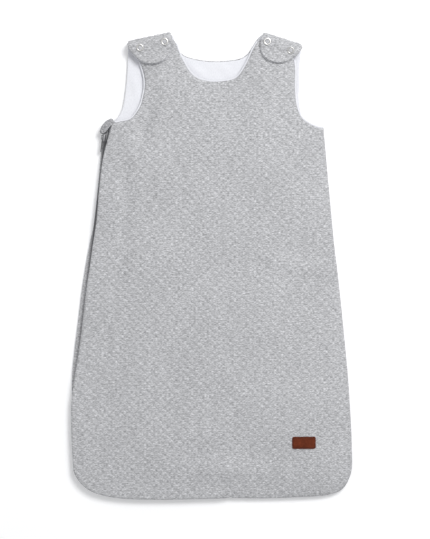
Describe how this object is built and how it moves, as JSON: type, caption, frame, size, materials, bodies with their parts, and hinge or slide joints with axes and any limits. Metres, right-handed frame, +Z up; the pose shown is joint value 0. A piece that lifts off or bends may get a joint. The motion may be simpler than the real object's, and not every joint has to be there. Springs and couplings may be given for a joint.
{
  "type": "baby sleeping bag",
  "caption": "Sleeveless quilted baby sleeping bag, lying flat, with a side zip round to the hem, snapped shoulder flaps and a small leather label.",
  "frame": {"origin": "under the middle of the bag's bounding box, on the surface that it lies on", "axes": "+Y towards the head end, +X to the right of a person looking down at the front, +Z up out of the front"},
  "size_m": [0.421, 0.6993, 0.0266],
  "materials": {
    "heather_jersey": "heather grey quilted jersey, matt",
    "white_lining": "plain white jersey, matt",
    "wadding": "soft white wadding",
    "zip_tape": "woven grey tape",
    "zip_coil": "moulded nylon coil",
    "zip_metal": "dark nickel",
    "snap_metal": "nickel ring, satin",
    "leather_label": "brown leather, plain",
    "label_thread": "brown sewing thread"
  },
  "bodies": {
    "bag": {"back_shell": "heather_jersey", "back_padding": "wadding", "back_lining": "white_lining", "front_shell": "heather_jersey", "front_padding": "wadding", "front_lining": "white_lining", "side_seam": "heather_jersey", "zip_back_tape": "zip_tape", "zip_back_teeth": "zip_coil", "zip_front_top_tape": "zip_tape", "zip_front_top_teeth": "zip_coil", "zip_back_top_stop": "zip_metal", "zip_front_top_stop": "zip_metal", "zip_bottom_stop": "zip_metal", "zip_guard": "white_lining", "label": "leather_label", "label_stitching": "label_thread", "left_outer_snap_stud": "snap_metal", "left_outer_snap_back_ring": "snap_metal", "left_inner_snap_stud": "snap_metal", "left_inner_snap_back_ring": "snap_metal", "right_inner_snap_stud": "snap_metal", "right_inner_snap_back_ring": "snap_metal", "right_outer_snap_stud": "snap_metal", "right_outer_snap_back_ring": "snap_metal"},
    "front_corner": {"front_corner_shell": "heather_jersey", "front_corner_padding": "wadding", "front_corner_lining": "white_lining", "zip_front_tape": "zip_tape", "zip_front_teeth": "zip_coil"},
    "left_flap": {"left_flap_shell": "heather_jersey", "left_flap_lining": "white_lining", "left_outer_snap_cap_ring": "snap_metal", "left_outer_snap_socket": "snap_metal", "left_inner_snap_cap_ring": "snap_metal", "left_inner_snap_socket": "snap_metal"},
    "right_flap": {"right_flap_shell": "heather_jersey", "right_flap_lining": "white_lining", "right_outer_snap_cap_ring": "snap_metal", "right_outer_snap_socket": "snap_metal", "right_inner_snap_cap_ring": "snap_metal", "right_inner_snap_socket": "snap_metal"},
    "garage": {"zip_garage_tab": "heather_jersey"},
    "slider": {"slider": "zip_metal"},
    "puller": {"puller": "zip_metal"}
  },
  "joints": [
    {"name": "front_fold", "type": "hinge", "parent": "bag", "child": "front_corner", "pos_m": [-0.06842, -0.09625, 0.0185], "axis": [-0.3744, 0.9273, 0], "range_deg": [0, 165]},
    {"name": "left_flap_hinge", "type": "hinge", "parent": "bag", "child": "left_flap", "pos_m": [-0.0592, 0.3493, 0.0218], "axis": [-0.9781, -0.2081, 0], "range_deg": [0, 170]},
    {"name": "right_flap_hinge", "type": "hinge", "parent": "bag", "child": "right_flap", "pos_m": [0.137, 0.33, 0.0218], "axis": [-0.9527, 0.3039, 0], "range_deg": [0, 170]},
    {"name": "garage_hinge", "type": "hinge", "parent": "bag", "child": "garage", "pos_m": [-0.167, 0.199, 0.0024], "axis": [-0.6805, -0.7328, 0], "range_deg": [0, 90]},
    {"name": "zip_slide", "type": "slide", "parent": "bag", "child": "slider", "axis": [-0.1168, -0.9932, 0], "range_m": [0, 0.37]},
    {"name": "puller_hinge", "type": "hinge", "parent": "slider", "child": "puller", "pos_m": [-0.16279, 0.19206, 0.00925], "axis": [0, 0, -1], "range_deg": [0, 125]}
  ]
}
